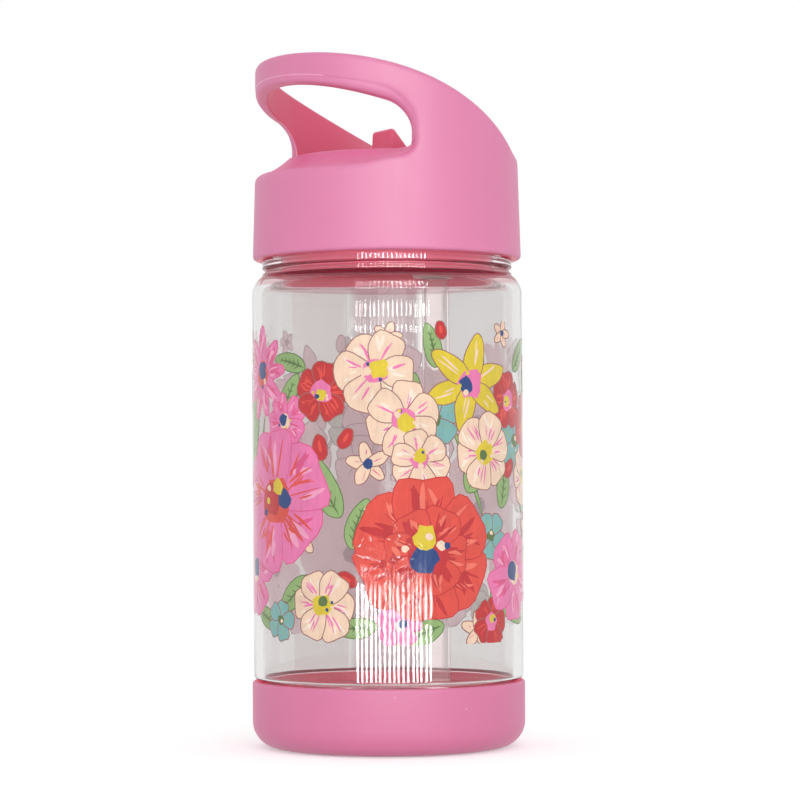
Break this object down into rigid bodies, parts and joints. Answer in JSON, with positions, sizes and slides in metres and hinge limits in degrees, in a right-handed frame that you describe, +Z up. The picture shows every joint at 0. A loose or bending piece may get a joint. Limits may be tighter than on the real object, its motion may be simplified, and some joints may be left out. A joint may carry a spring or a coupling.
{
  "type": "kids straw cup",
  "caption": "Slim kids' drinking bottle: clear round body, pink base cup, pink screw lid with a sloping open hood, a carrying window and a folding spout over a straw.",
  "frame": {"origin": "centre of the cup's underside, on the surface it stands on", "axes": "+Z up along the cup's axis; -Y the drinking side; +Y the side of the carrying window; +X to the right when looking along +Y"},
  "size_m": [0.0708, 0.0708, 0.1768],
  "materials": {
    "pink_plastic": "satin moulded",
    "clear_plastic": "clear polished",
    "white_silicone": "matt translucent",
    "straw_plastic": "translucent"
  },
  "bodies": {
    "bottle": {"bottle_body": "clear_plastic", "base_cup": "pink_plastic"},
    "gasket": {"lid_gasket": "white_silicone"},
    "lid": {"lid_shell": "pink_plastic", "spout_seal": "white_silicone", "straw_sleeve": "white_silicone", "straw": "straw_plastic", "air_valve": "white_silicone"},
    "spout": {"spout": "pink_plastic"}
  },
  "joints": [
    {"name": "lid_lift", "type": "slide", "parent": "bottle", "child": "gasket", "axis": [0, 0, 1], "range_m": [0, 0.0067]},
    {"name": "lid_turn", "type": "hinge", "parent": "gasket", "child": "lid", "pos_m": [0, 0, 0.12618], "axis": [0, 0, 1], "range_deg": [0, 600]},
    {"name": "spout_flip", "type": "hinge", "parent": "lid", "child": "spout", "pos_m": [0, -0.015, 0.14998], "axis": [1, 0, 0], "range_deg": [0, 90]}
  ],
  "couplings": [
    {"joint": "lid_lift", "follows": "lid_turn", "m_per_rad": 0.00063662}
  ]
}
